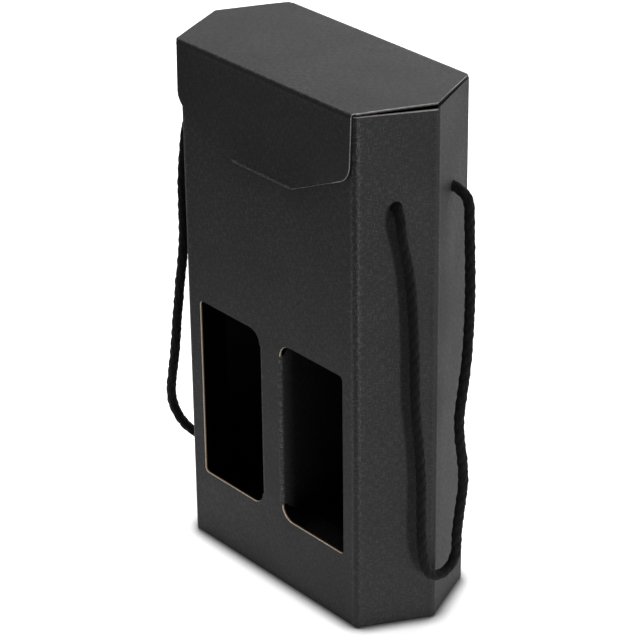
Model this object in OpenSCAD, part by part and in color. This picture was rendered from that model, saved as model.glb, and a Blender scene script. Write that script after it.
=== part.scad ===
// Window carrier: a folded board carton with six walls, a tuck-in lid, a snap-lock base
// and a rope loop at each end.
// Millimetres. The origin is the centre of the base, +Z is up and the front faces -Y.

/* [Carton] */
// Width of the front and back panels, crease to crease
front_w = 156; // [150:1:176]
// Depth outside, from the front panel to the back panel
depth = 88; // [84:1:94]
// Width of each of the four side panels, crease to crease
side_w = 49; // [48:0.5:56]
// Height from the base to the top of the closed lid
height = 340; // [325:1:360]
// Thickness of the board
board_t = 1.5; // [1:0.1:2]
// Outside radius of an upright crease
crease_r = 2; // [1:0.1:4]
// Free gap at a crease that hinges
crease_gap = 0.3; // [0.2:0.05:0.6]

/* [Lid and tuck flap] */
// Gap between the closed lid and the top edges of the front and of the two side panels next to it
lid_gap = 1.4; // [0.6:0.1:3]
// Gap between the closed lid and the top edges of the two side panels next to the back
back_gap = 0.6; // [0.4:0.1:2]
// How far the lid's end points stay inside the points of the walls
lid_inset = 0.6; // [0:0.1:2]
// Gap between the flap and the front panel
flap_gap = 0.6; // [0.4:0.1:1.5]
// Height of the flap from the top of the lid to its fold
flap_drop = 62.5; // [56:0.5:75]
// Height of the flap at its sides, from the top of the lid to the slanted lower edge
flap_side = 40.5; // [32:0.5:46]
// Inward slant of each side edge of the flap
flap_slant = 2; // [0:0.5:6]
// Radius of the flap's lower corners
flap_corner_r = 14; // [4:1:20]
// Width of the fold where the tongue begins
fold_w = 52; // [40:1:70]
// Length of the tongue behind the flap
tongue_len = 22; // [16:1:30]
// Narrowing of the tongue on each side, from root to tip
tongue_taper = 4; // [0:0.5:8]
// Radius of the tongue's corners
tongue_corner_r = 8; // [2:1:12]
// Clearance round the tongue in its slot
slot_clear = 0.5; // [0.4:0.1:1]

/* [Windows] */
// Width of each window
window_w = 57; // [40:1:62]
// Height of each window
window_h = 122; // [80:1:180]
// Height of the windows' lower edges above the base
window_sill = 48; // [20:1:80]
// Width of the board between the windows
pillar_w = 19; // [12:1:24]
// Radius of the window corners next to the pillar
window_inner_r = 9; // [2:1:16]
// Radius of the window corners next to the side creases
window_outer_r = 3; // [1:0.5:8]
// Clearance that the die leaves between a window and the flap cut from it
window_clear = 0.5; // [0.3:0.1:1]
// Radius of the window flaps' corners next to their creases
window_flap_r = 20; // [18:1:30]

/* [Snap-lock base] */
// Reach of the front base flap, from the front panel
base_front_reach = 48; // [40:1:52]
// Reach of the back base flap, from the back panel
base_back_reach = 58; // [50:1:66]
// Reach of each side base flap, from the front creases
base_side_reach = 34; // [20:1:40]
// Slant of the base flaps' free ends on each side
base_slant = 14; // [4:1:24]
// Width of the lock tongue on the front base flap
lock_w = 60; // [40:1:70]
// Length of the slope that lifts the lock tongue through the notch
lock_rise = 12; // [8:1:14]
// Length of the lock tongue that lies on the back base flap
lock_len = 14; // [6:1:16]
// Clearance of the lock tongue in its notch
lock_clear = 1; // [0.5:0.1:2]

/* [Seam] */
// Width of the seam flap, which is glued to the back panel
seam_w = 22; // [14:1:32]
// Distance of the seam flap's ends from the base and from the lid
seam_margin = 12; // [8:1:30]
// Slant of the cut ends of the seam flap
end_slant = 8; // [2:1:12]

/* [Handles] */
// Diameter of the cord
cord_d = 6; // [4:0.5:7]
// Radial clearance of the cord in its holes
cord_clear = 0.5; // [0.3:0.1:1]
// Distance of the cord holes below the top of the lid
cord_hole_drop = 60; // [40:1:90]
// Diameter of a knot
knot_d = 14; // [10:0.5:16]
// Length of a knot along the cord
knot_len = 10; // [8:0.5:12]
// Gap between a knot and the inside of its panel
knot_gap = 1.2; // [1:0.1:2]
// Length of the cut cord end behind a knot
tail_len = 4; // [2:0.5:8]

/* [Hidden] */
$fn = 64;
board_black = "#2b2b2d";
cord_black = "#151516";
arc_steps = 8;
overlap = 1;

// Plan of the walls
half_w = front_w / 2;
half_d = depth / 2;
point_out = sqrt(side_w * side_w - half_d * half_d);
side_a = atan2(point_out, half_d);
wall_angles = [-90, -side_a, side_a, 90, 180 - side_a, 180 + side_a];
inner_d = half_d - board_t;

// Levels
lid_z = height - board_t;
wall_top = lid_z - lid_gap;
fold_z = height - flap_drop;
hole_z = height - cord_hole_drop;
base_top = 4 * board_t;

// Front faces of the flap and the lid
flap_y = -half_d - flap_gap - board_t;

// Lock tongue of the base
front_end = base_front_reach - inner_d;
lock_seat = front_end + lock_rise;

// Cord routes, from the front hole of each end to its back hole
right_route = [
    [87, -21, 280], [91.1, -23, 279.1], [94.6, -24.7, 276.5], [97, -25.9, 272.6], [97.8, -26.3, 268],
    [98.5, -24.7, 258], [99, -21.5, 243], [99.5, -19.5, 224], [100, -18.5, 205], [100.5, -18, 186],
    [101, -18, 167], [101.5, -17.5, 149], [102, -15.5, 129], [102.5, -14, 106], [103, -14, 84],
    [104, -14.5, 64], [104, -13.2, 53], [104, -10.2, 41.5], [104, -6.3, 36], [104, -0.6, 33.2],
    [104, 5.9, 33.8], [104, 11.1, 37.6], [104, 13.8, 43.6], [104, 14.5, 57], [104, 17, 75],
    [104, 19, 90], [103.5, 18.5, 106], [103, 16.5, 122], [102.5, 16.5, 136], [102, 19, 150],
    [101.5, 22.5, 170], [100.5, 25, 192], [100, 26, 215], [99, 26.3, 240], [98.2, 26.3, 258],
    [97.8, 26.3, 268], [97, 25.9, 272.6], [94.6, 24.7, 276.5], [91.1, 23, 279.1], [87, 21, 280]
];
left_route = [
    [-87, -21, 280], [-91.1, -23, 279.1], [-94.6, -24.7, 276.5], [-97, -25.9, 272.6], [-97.8, -26.3, 268],
    [-98.5, -27.4, 258], [-99.5, -28.8, 238], [-100, -29, 217], [-100.5, -29, 197], [-103.5, -29, 175],
    [-106, -29, 163], [-108.5, -28.5, 150], [-111, -28.5, 136], [-113.5, -28, 122], [-116.5, -27.5, 107],
    [-119.5, -27.5, 92], [-123, -26.5, 78], [-124, -24.5, 66], [-121.5, -20.5, 54], [-118.5, -14, 44.5],
    [-115, -6, 38.5], [-113, 3, 37], [-112, 11, 41], [-111.5, 17, 49], [-111, 20.5, 62],
    [-110.5, 22, 80], [-109.5, 23, 100], [-108, 24, 120], [-106.5, 24.5, 140], [-105, 25, 160],
    [-103, 26, 180], [-101.5, 26.5, 200], [-100, 26.5, 220], [-99, 26.5, 240], [-98.2, 26.3, 258],
    [-97.8, 26.3, 268], [-97, 25.9, 272.6], [-94.6, 24.7, 276.5], [-91.1, 23, 279.1], [-87, 21, 280]
];
cord_sides = 10;

function unit(v) = v / norm(v);
function heading(a) = [cos(a), sin(a)];
function flip_x(points) = [for (i = [len(points) - 1:-1:0]) [-points[i].x, points[i].y]];

// Hexagon of the walls, drawn in by a distance all round
function corner_x(d) = half_w - d * (side_w - point_out) / half_d;
function point_x(d) = half_w + point_out - d * side_w / half_d;
function ring(d) = [
    [-corner_x(d), d - half_d], [corner_x(d), d - half_d], [point_x(d), 0],
    [corner_x(d), half_d - d], [-corner_x(d), half_d - d], [-point_x(d), 0]
];

// Angle of a wall's outward normal, and of the crease before it, halfway between two normals
function wall_angle(i) = wall_angles[(i + 6) % 6] + 360 * floor(i / 6);
function crease_angle(i) = (wall_angle(i - 1) + wall_angle(i)) / 2;

// Points on an arc between two headings
function arc(centre, r, from, to) =
    [for (i = [0:arc_steps]) centre + r * heading(from + (to - from) * i / arc_steps)];

// Corner between two neighbours, rounded
function round_corner(before, corner, after, r) =
    let (
        a = unit(before - corner),
        b = unit(after - corner),
        half = acos(a * b) / 2,
        centre = corner + unit(a + b) * r / sin(half),
        start = corner + a * r / tan(half) - centre,
        end = corner + b * r / tan(half) - centre,
        from = atan2(start.y, start.x),
        sweep = atan2(end.y, end.x) - from,
        turn = sweep > 180 ? sweep - 360 : sweep < -180 ? sweep + 360 : sweep
    )
    arc(centre, r, from, from + turn);

// Outline with a radius at each point, or none
function rounded(points, radii) =
    let (n = len(points))
    [
        for (i = [0:n - 1])
            each radii[i] == 0
                ? [points[i]]
                : round_corner(points[(i + n - 1) % n], points[i], points[(i + 1) % n], radii[i])
    ];

// Wall between two creases: half of each rounded crease outside, mitred to its neighbours
module wall(i, bottom, top) {
    centres = ring(crease_r);
    inner = ring(board_t);
    next = (i + 1) % 6;
    translate([0, 0, bottom])
        linear_extrude(top - bottom)
            polygon(concat(
                arc(centres[i], crease_r, crease_angle(i), wall_angle(i)),
                arc(centres[next], crease_r, wall_angle(i), crease_angle(i + 1)),
                [inner[next], inner[i]]
            ));
}

// Board standing on an XZ outline, with its front face at front_y
module standing(front_y) {
    translate([0, front_y + board_t, 0])
        rotate([90, 0, 0])
            linear_extrude(board_t)
                children();
}

// Board lying on an XY outline at a level
module lying(z) {
    translate([0, 0, z])
        linear_extrude(board_t)
            children();
}

// Local Z along a side panel's outward normal, from the hole on its outside face
module at_cord_hole(end, side) {
    translate([end * (half_w + point_out / 2), side * half_d / 2, hole_z])
        rotate([0, 90, atan2(side * point_out, end * half_d)])
            children();
}

module side_panel(i, end, side, top) {
    color(board_black)
        difference() {
            wall(i, 0, top);
            at_cord_hole(end, side)
                cylinder(h = 4 * board_t, d = cord_d + 2 * cord_clear, center = true);
        }
}

// Outline of a window from its fold at 0 outwards, drawn in at the three cut edges
module window_outline(inset, inner_r) {
    low = window_sill + inset;
    high = window_sill + window_h - inset;
    far = window_w - inset;
    outer_r = window_outer_r - inset;
    polygon(rounded([[0, low], [far, low], [far, high], [0, high]], [inner_r, outer_r, outer_r, inner_r]));
}

module front_panel() {
    color(board_black)
        difference() {
            wall(0, 0, wall_top);
            for (end = [0, 1])
                mirror([end, 0, 0])
                    translate([pillar_w / 2, overlap - inner_d, 0])
                        rotate([90, 0, 0])
                            linear_extrude(board_t + 2 * overlap)
                                window_outline(0, window_inner_r);
            translate([-fold_w / 2 - slot_clear, -half_d - overlap, fold_z - slot_clear])
                cube([fold_w + 2 * slot_clear, board_t + 2 * overlap, board_t + 2 * slot_clear]);
        }
}

module back_panel() {
    color(board_black)
        wall(3, 0, lid_z - crease_gap);
}

module right_front_panel() {
    side_panel(1, 1, -1, wall_top);
}

module right_back_panel() {
    side_panel(2, 1, 1, lid_z - back_gap);
}

module left_back_panel() {
    side_panel(4, -1, 1, lid_z - back_gap);
}

module left_front_panel() {
    side_panel(5, -1, -1, wall_top);
}

module seam_flap() {
    low = base_top + seam_margin;
    high = wall_top - seam_margin;
    start = -corner_x(2 * board_t);
    color(board_black)
        standing(inner_d - board_t)
            polygon([
                [start, low], [start + seam_w, low + end_slant],
                [start + seam_w, high - end_slant], [start, high]
            ]);
}

// Outline of the lid; its front and back edges are rounded where the board folds down
module lid_panel() {
    tip = half_w + point_out - lid_inset;
    fold_r = min(crease_r, board_t);
    edges = rounded(
        [[flap_y, lid_z], [half_d, lid_z], [half_d, height], [flap_y, height]],
        [0, 0, fold_r, fold_r]
    );
    color(board_black)
        intersection() {
            lying(lid_z)
                polygon([
                    [-half_w, flap_y], [half_w, flap_y], [tip, 0],
                    [half_w, half_d], [-half_w, half_d], [-tip, 0]
                ]);
            translate([-tip, 0, 0])
                rotate([90, 0, 90])
                    linear_extrude(2 * tip)
                        polygon(edges);
        }
}

module front_flap() {
    top = lid_z - crease_gap;
    right_edge = concat(
        [[fold_w / 2, fold_z]],
        round_corner(
            [fold_w / 2, fold_z], [half_w - flap_slant, height - flap_side], [half_w, top], flap_corner_r
        ),
        [[half_w, top]]
    );
    color(board_black)
        standing(flap_y)
            polygon(concat(right_edge, flip_x(right_edge)));
}

module tuck_tongue() {
    root = flap_y + board_t + crease_gap;
    tip = root + tongue_len;
    tip_w = fold_w / 2 - tongue_taper;
    color(board_black)
        lying(fold_z)
            polygon(rounded(
                [[-fold_w / 2, root], [fold_w / 2, root], [tip_w, tip], [-tip_w, tip]],
                [0, 0, tongue_corner_r, tongue_corner_r]
            ));
}

// Outer layer of the base, with the tongue that climbs through the notch and lies on the back flap
module base_front_flap() {
    wide = corner_x(board_t);
    lift = 3 * board_t;
    climb = [
        [front_end - overlap, 0], [front_end, 0], [lock_seat, lift], [lock_seat + lock_len, lift],
        [lock_seat + lock_len, lift + board_t], [lock_seat, lift + board_t], [front_end, board_t],
        [front_end - overlap, board_t]
    ];
    color(board_black) {
        lying(0)
            polygon([
                [-wide, -inner_d], [wide, -inner_d],
                [wide - base_slant, front_end], [base_slant - wide, front_end]
            ]);
        translate([-lock_w / 2, 0, 0])
            rotate([90, 0, 90])
                linear_extrude(lock_w)
                    polygon(climb);
    }
}

// Inner layer of the base, notched for the lock tongue
module base_back_flap() {
    wide = corner_x(board_t);
    free_end = inner_d - base_back_reach;
    notch = lock_w / 2 + lock_clear;
    color(board_black)
        lying(2 * board_t)
            difference() {
                polygon([
                    [wide, inner_d], [-wide, inner_d],
                    [base_slant - wide, free_end], [wide - base_slant, free_end]
                ]);
                translate([-notch, free_end - overlap])
                    square([2 * notch, lock_seat + lock_clear - free_end + overlap]);
            }
}

// Middle layer of the base, one flap in each pointed end
module base_side_flap(end) {
    inner = ring(board_t);
    free_x = inner[1].x - base_side_reach;
    free_y = inner_d - base_slant;
    color(board_black)
        mirror([end < 0 ? 1 : 0, 0, 0])
            lying(board_t)
                polygon([inner[1], inner[2], inner[3], [free_x, free_y], [free_x, -free_y]]);
}

module base_right_flap() {
    base_side_flap(1);
}

module base_left_flap() {
    base_side_flap(-1);
}

// Board cut from a window, turned in by a right angle on the crease at the pillar
module window_flap() {
    crease = board_t + crease_gap;
    color(board_black)
        translate([pillar_w / 2 - board_t, -half_d, 0])
            rotate([90, 0, 90])
                linear_extrude(board_t)
                    intersection() {
                        window_outline(window_clear, window_flap_r);
                        translate([crease, window_sill])
                            square([window_w, window_h]);
                    }
}

module right_window_flap() {
    window_flap();
}

module left_window_flap() {
    mirror([1, 0, 0])
        window_flap();
}

// Knot inside a panel, with its cut end
module knot(end, side) {
    knot_r = knot_d / 2;
    cord_r = cord_d / 2;
    round_r = min(knot_r - cord_r, knot_len / 2);
    color(cord_black)
        at_cord_hole(end, side)
            mirror([0, 0, 1])
                translate([0, 0, board_t + knot_gap]) {
                    rotate_extrude()
                        polygon(rounded(
                            [[0, 0], [knot_r, 0], [knot_r, knot_len], [0, knot_len]],
                            [0, round_r, round_r, 0]
                        ));
                    cylinder(h = knot_len + tail_len, d = cord_d);
                }
}

module right_front_knot() {
    knot(1, -1);
}

module right_back_knot() {
    knot(1, 1);
}

module left_front_knot() {
    knot(-1, -1);
}

module left_back_knot() {
    knot(-1, 1);
}

// Direction of a route at each of its points
function route_headings(route) =
    let (last = len(route) - 1)
    [for (i = [0:last]) unit(route[min(i + 1, last)] - route[max(i - 1, 0)])];

// A side direction carried along the route without twist
function carried(headings, side, i = 0) =
    i == len(headings)
        ? []
        : let (here = unit(side - (side * headings[i]) * headings[i]))
            concat([here], carried(headings, here, i + 1));

// Cord swept along its route, square at both ends
module cord(route) {
    headings = route_headings(route);
    sides = carried(headings, [0, 0, 1]);
    last = len(route) - 1;
    points = [
        for (i = [0:last], k = [0:cord_sides - 1])
            let (a = 360 * k / cord_sides)
            route[i] + cord_d / 2 * (cos(a) * sides[i] + sin(a) * cross(headings[i], sides[i]))
    ];
    skin = [
        for (i = [0:last - 1], k = [0:cord_sides - 1])
            let (
                a = i * cord_sides + k,
                b = i * cord_sides + (k + 1) % cord_sides
            )
            each [[a, a + cord_sides, b + cord_sides], [a, b + cord_sides, b]]
    ];
    start_cap = [for (k = [0:cord_sides - 1]) k];
    end_cap = [for (k = [cord_sides - 1:-1:0]) last * cord_sides + k];
    color(cord_black)
        polyhedron(points, concat(skin, [start_cap, end_cap]));
}

module right_cord() {
    cord(right_route);
}

module left_cord() {
    cord(left_route);
}

front_panel();
back_panel();
right_front_panel();
right_back_panel();
left_front_panel();
left_back_panel();
seam_flap();
lid_panel();
front_flap();
tuck_tongue();
base_front_flap();
base_back_flap();
base_right_flap();
base_left_flap();
right_window_flap();
left_window_flap();
right_cord();
left_cord();
right_front_knot();
right_back_knot();
left_front_knot();
left_back_knot();
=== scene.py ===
"""Window carrier: a folded carton of black linen-embossed board with a rope loop at each end."""
import math

import bmesh
import bpy
import numpy as np
from mathutils import Matrix, Vector
from mathutils.geometry import delaunay_2d_cdt


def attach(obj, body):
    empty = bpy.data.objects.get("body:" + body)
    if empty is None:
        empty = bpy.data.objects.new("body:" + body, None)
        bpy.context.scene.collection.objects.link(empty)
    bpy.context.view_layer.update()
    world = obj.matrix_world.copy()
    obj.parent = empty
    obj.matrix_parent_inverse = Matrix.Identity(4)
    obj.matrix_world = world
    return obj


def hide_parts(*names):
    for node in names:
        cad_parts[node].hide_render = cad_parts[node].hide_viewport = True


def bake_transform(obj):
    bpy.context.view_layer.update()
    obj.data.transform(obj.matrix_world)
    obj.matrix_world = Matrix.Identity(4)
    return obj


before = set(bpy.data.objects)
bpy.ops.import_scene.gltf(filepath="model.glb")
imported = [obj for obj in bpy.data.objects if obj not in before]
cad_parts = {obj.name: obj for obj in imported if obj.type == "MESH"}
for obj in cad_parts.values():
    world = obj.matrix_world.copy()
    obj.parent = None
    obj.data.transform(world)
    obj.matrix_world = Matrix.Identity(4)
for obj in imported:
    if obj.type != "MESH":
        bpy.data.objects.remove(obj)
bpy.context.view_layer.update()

# Sizes in millimetres, as in the part's source
MM = 0.001
HALF_W, HALF_D, SIDE_W = 78.0, 44.0, 49.0
POINT_OUT = math.sqrt(SIDE_W ** 2 - HALF_D ** 2)
HEIGHT, BOARD = 340.0, 1.5
FRONT_TOP, BACK_SIDE_TOP, BACK_TOP = 337.1, 337.9, 336.0
FLAP_Y = -46.1
FLAP_SIDE, FLAP_SLANT, FLAP_CORNER = 40.5, 2.0, 14.0
FOLD_HALF, FOLD_Z = 26.0, 277.5
TONGUE_TIP_Y, TONGUE_TAPER, TONGUE_CORNER = -22.3, 4.0, 8.0
SLOT_CLEAR = 0.5
PILLAR_HALF, WINDOW_W, WINDOW_LOW, WINDOW_HIGH = 9.5, 57.0, 48.0, 170.0
WINDOW_INNER_R, WINDOW_OUTER_R, WINDOW_CLEAR, WINDOW_FLAP_R = 9.0, 3.0, 0.5, 20.0
HOLE_Z, HOLE_R = 280.0, 3.5
CORD_D = 6.0

# Radii of the folded board, outside
UPRIGHT_R, LID_FOLD_R, FLAP_FOLD_R, TONGUE_FOLD_R, WINDOW_FOLD_R, BASE_FOLD_R = 2.2, 2.0, 1.3, 1.0, 1.8, 1.6

RIGHT_ROUTE = [
    (87, -21, 280), (91.1, -23, 279.1), (94.6, -24.7, 276.5), (97, -25.9, 272.6), (97.8, -26.3, 268),
    (98.5, -24.7, 258), (99, -21.5, 243), (99.5, -19.5, 224), (100, -18.5, 205), (100.5, -18, 186),
    (101, -18, 167), (101.5, -17.5, 149), (102, -15.5, 129), (102.5, -14, 106), (103, -14, 84),
    (104, -14.5, 64), (104, -13.2, 53), (104, -10.2, 41.5), (104, -6.3, 36), (104, -0.6, 33.2),
    (104, 5.9, 33.8), (104, 11.1, 37.6), (104, 13.8, 43.6), (104, 14.5, 57), (104, 17, 75),
    (104, 19, 90), (103.5, 18.5, 106), (103, 16.5, 122), (102.5, 16.5, 136), (102, 19, 150),
    (101.5, 22.5, 170), (100.5, 25, 192), (100, 26, 215), (99, 26.3, 240), (98.2, 26.3, 258),
    (97.8, 26.3, 268), (97, 25.9, 272.6), (94.6, 24.7, 276.5), (91.1, 23, 279.1), (87, 21, 280),
]
LEFT_ROUTE = [
    (-87, -21, 280), (-91.1, -23, 279.1), (-94.6, -24.7, 276.5), (-97, -25.9, 272.6), (-97.8, -26.3, 268),
    (-98.5, -27.4, 258), (-99.5, -28.8, 238), (-100, -29, 217), (-100.5, -29, 197), (-103.5, -29, 175),
    (-106, -29, 163), (-108.5, -28.5, 150), (-111, -28.5, 136), (-113.5, -28, 122), (-116.5, -27.5, 107),
    (-119.5, -27.5, 92), (-123, -26.5, 78), (-124, -24.5, 66), (-121.5, -20.5, 54), (-118.5, -14, 44.5),
    (-115, -6, 38.5), (-113, 3, 37), (-112, 11, 41), (-111.5, 17, 49), (-111, 20.5, 62),
    (-110.5, 22, 80), (-109.5, 23, 100), (-108, 24, 120), (-106.5, 24.5, 140), (-105, 25, 160),
    (-103, 26, 180), (-101.5, 26.5, 200), (-100, 26.5, 220), (-99, 26.5, 240), (-98.2, 26.3, 258),
    (-97.8, 26.3, 268), (-97, 25.9, 272.6), (-94.6, 24.7, 276.5), (-91.1, 23, 279.1), (-87, 21, 280),
]


# Scene and camera

CAMERA_AZIMUTH, CAMERA_ELEVATION, CAMERA_ROLL = 49.528, 27.449, -0.657
CAMERA_TARGET, CAMERA_DISTANCE = Vector((-4.345, 0.0, 165.029)), 1629.513
CAMERA_LENS, CAMERA_SENSOR, CAMERA_CLIP = 150.06, 36.0, (0.05, 60.0)


def in_scene(name, data):
    """New object in the scene, made of a mesh, a camera or a lamp."""
    thing = bpy.data.objects.new(name, data)
    bpy.context.scene.collection.objects.link(thing)
    return thing


def add_camera():
    a, e, r = (math.radians(v) for v in (CAMERA_AZIMUTH, CAMERA_ELEVATION, CAMERA_ROLL))
    back = Vector((math.sin(a) * math.cos(e), -math.cos(a) * math.cos(e), math.sin(e)))
    right = Vector((math.cos(a), math.sin(a), 0))
    up = back.cross(right)
    turned_right = right * math.cos(r) + up * math.sin(r)
    turned_up = up * math.cos(r) - right * math.sin(r)
    data = bpy.data.cameras.new("camera")
    data.lens, data.sensor_width = CAMERA_LENS, CAMERA_SENSOR
    data.clip_start, data.clip_end = CAMERA_CLIP
    camera = in_scene("camera", data)
    turn = Matrix((turned_right, turned_up, back)).transposed().to_4x4()
    camera.matrix_world = Matrix.Translation((CAMERA_TARGET + back * CAMERA_DISTANCE) * MM) @ turn
    bpy.context.scene.camera = camera


add_camera()
bpy.context.scene.view_settings.view_transform = "Standard"


# Shader helpers

class Nodes:
    """Short calls for one node tree."""

    def __init__(self, tree):
        self.tree = tree

    def add(self, kind, **settings):
        node = self.tree.nodes.new("ShaderNode" + kind)
        for name, value in settings.items():
            setattr(node, name, value)
        return node

    def feed(self, socket, value):
        if isinstance(value, bpy.types.NodeSocket):
            self.tree.links.new(value, socket)
        else:
            socket.default_value = value

    def fill(self, sockets, **values):
        """Feeds sockets by name, with a low line for each space."""
        for name, value in values.items():
            self.feed(sockets[name.replace("_", " ")], value)

    def math(self, operation, a, b=0.0, clamp=False):
        node = self.add("Math", operation=operation, use_clamp=clamp)
        self.feed(node.inputs[0], a)
        self.feed(node.inputs[1], b)
        return node.outputs[0]

    def place(self, kind):
        return self.add("TexCoord").outputs[kind]

    def layer(self, name):
        return self.add("Attribute", attribute_name=name).outputs["Fac"]

    def times(self, a, b, clamp=False):
        return self.math("MULTIPLY", a, b, clamp)

    def split(self, vector):
        node = self.add("SeparateXYZ")
        self.feed(node.inputs[0], vector)
        return node.outputs

    def joined(self, x, y):
        node = self.add("CombineXYZ")
        self.fill(node.inputs, X=x, Y=y)
        return node.outputs[0]

    def along(self, place, heading):
        """How far a split place lies along a level heading."""
        return self.math("ADD", *(self.times(place[axis], share) for axis, share in zip("XY", heading)))

    def scaled(self, vector, factors):
        node = self.add("VectorMath", operation="MULTIPLY")
        self.feed(node.inputs[0], vector)
        self.feed(node.inputs[1], factors)
        return node.outputs[0]

    def noise(self, vector, scale, detail, roughness=0.5, flat=True):
        node = self.add("TexNoise", noise_dimensions="2D" if flat else "3D")
        self.fill(node.inputs, Vector=vector, Scale=scale, Detail=detail, Roughness=roughness)
        return node.outputs["Fac"]

    def spread(self, value, low, high, to_low=0.0, to_high=1.0):
        node = self.add("MapRange", clamp=True)
        self.fill(node.inputs, Value=value, From_Min=low, From_Max=high, To_Min=to_low, To_Max=to_high)
        return node.outputs["Result"]

    def mix(self, factor, a, b):
        node = self.add("Mix", data_type="RGBA")
        self.feed(node.inputs["Factor"], factor)
        self.feed(node.inputs[6], a)
        self.feed(node.inputs[7], b)
        return node.outputs[2]

    def ramp(self, value, stops):
        node = self.add("ValToRGB")
        ramp = node.color_ramp
        while len(ramp.elements) < len(stops):
            ramp.elements.new(1.0)
        for element, (place, colour) in zip(ramp.elements, stops):
            element.position, element.color = place, (*colour, 1)
        self.feed(node.inputs["Fac"], value)
        return node.outputs["Color"]

    def group(self, tree, **values):
        node = self.add("Group", node_tree=tree)
        self.fill(node.inputs, **values)
        return node.outputs

    def bump(self, height, strength, distance):
        node = self.add("Bump")
        self.fill(node.inputs, Height=height, Strength=strength, Distance=distance)
        return node.outputs["Normal"]


def new_group(name, inputs, outputs):
    tree = bpy.data.node_groups.new(name, "ShaderNodeTree")
    for direction, sockets in (("INPUT", inputs), ("OUTPUT", outputs)):
        for socket, kind in sockets:
            tree.interface.new_socket(socket, in_out=direction, socket_type="NodeSocket" + kind)
    return Nodes(tree), tree.nodes.new("NodeGroupInput").outputs, tree.nodes.new("NodeGroupOutput").inputs


def new_material(name):
    material = bpy.data.materials.new(name)
    material.use_nodes = True
    nodes = Nodes(material.node_tree)
    return material, nodes, material.node_tree.nodes["Principled BSDF"].inputs


# Sizes of the surface patterns in metres, and linear colours

LINEN_PITCH, SLUB_LENGTH, FLUTE_PITCH = 0.00088, 0.0042, 0.0022
LINEN_RELIEF, LINER_RELIEF, EDGE_RELIEF, CORD_RELIEF = 0.0003, 0.0001, 0.0002, 0.0003
# Print on sunk and on raised emboss threads: painted shade and painted highlight of the linen relief
PRINT_SUNK_SHADE, PRINT_RAISED_HIGHLIGHT = (0.005, 0.005, 0.0051, 1), (0.0215, 0.0215, 0.0219, 1)
# Clouded print, and the pale grey mixed in by rub and painted highlight along creases, folds and the ridge
PRINT_CLOUDED, PRINT_RUB_HIGHLIGHT = (0.012, 0.012, 0.0125, 1), (0.22, 0.22, 0.22, 1)
LINER_DARK, LINER_PALE = (0.005, 0.0047, 0.0042, 1), (0.01, 0.0094, 0.0084, 1)
RIM_DARK, RIM_PALE = (0.24, 0.236, 0.23, 1), (0.58, 0.57, 0.555, 1)
TORN_FIBRE, FLUTE_HOLLOW_SHADE = (0.42, 0.36, 0.29, 1), (0.012, 0.007, 0.004, 1)
YARN_DARK, YARN_PALE = (0.002, 0.002, 0.0022, 1), (0.0065, 0.0065, 0.007, 1)
# Painted shade in the grooves between the cord's strands
YARN_GROOVE_SHADE = (0.0008, 0.0008, 0.0009, 1)

# Fibres per metre along the cord and round it
FIBRE_RATES = (260.0, 2600.0, 1.0)

# Plies at a cut, from the printed face to the inside: share of the thickness, and colour; the darkening
# through the flute core is painted shade
PLY_STOPS = (
    (0.0, (0.74, 0.67, 0.56)), (0.42, (0.62, 0.5, 0.37)), (0.55, (0.26, 0.14, 0.056)),
    (0.7, (0.14, 0.075, 0.03)), (0.86, (0.09, 0.05, 0.022)), (0.96, (0.02, 0.014, 0.009)),
)


# Shared effects

def linen_emboss():
    """Pressed linen: warp and weft threads that cross, each with its own slubs."""
    n, inputs, out = new_group(
        "linen_emboss",
        [("Sheet", "Vector"), ("Pitch", "Float"), ("Slub Length", "Float")],
        [("Height", "Float"), ("Raised", "Float")],
    )
    place = n.split(inputs["Sheet"])
    threads = []
    for across, along in (("X", "Y"), ("Y", "X")):
        turns = n.math("DIVIDE", place[across], inputs["Pitch"])
        spot = n.joined(turns, n.math("DIVIDE", place[along], inputs["Slub Length"]))
        slub = n.noise(spot, 1.0, detail=2.0, roughness=0.6)
        drift = n.times(n.noise(spot, 0.35, detail=1.0), 0.5)
        crown = n.math("SINE", n.times(n.math("ADD", turns, drift), 2 * math.pi))
        round_thread = n.spread(crown, -1.0, 1.0, 0.35, 1.0)
        threads.append(n.times(n.spread(slub, 0.32, 0.72), round_thread))
    height = n.math("MAXIMUM", *threads)
    n.fill(out, Height=height, Raised=n.spread(height, 0.35, 0.85))
    return n.tree


def rub_and_painted_highlight():
    """Where folding has rubbed the print, with painted highlight on the creases: strongest along creases,
    broken up by the surface.
    """
    n, inputs, out = new_group(
        "rub_and_painted_highlight",
        [("Sheet", "Vector"), ("Crease", "Float"), ("Raised", "Float")],
        [("Rub", "Float"), ("Cloud", "Float")],
    )
    patches = n.spread(n.noise(inputs["Sheet"], 700.0, detail=3.0, roughness=0.6), 0.3, 0.7, 0.6, 1.0)
    threads = n.spread(inputs["Raised"], 0.2, 0.9, 0.15, 1.0)
    cloud = n.noise(inputs["Sheet"], 22.0, detail=3.0, roughness=0.55)
    rub_and_highlight = n.times(n.times(inputs["Crease"], patches), threads, clamp=True)
    n.fill(out, Rub=rub_and_highlight, Cloud=n.spread(cloud, 0.3, 0.7))
    return n.tree


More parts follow.
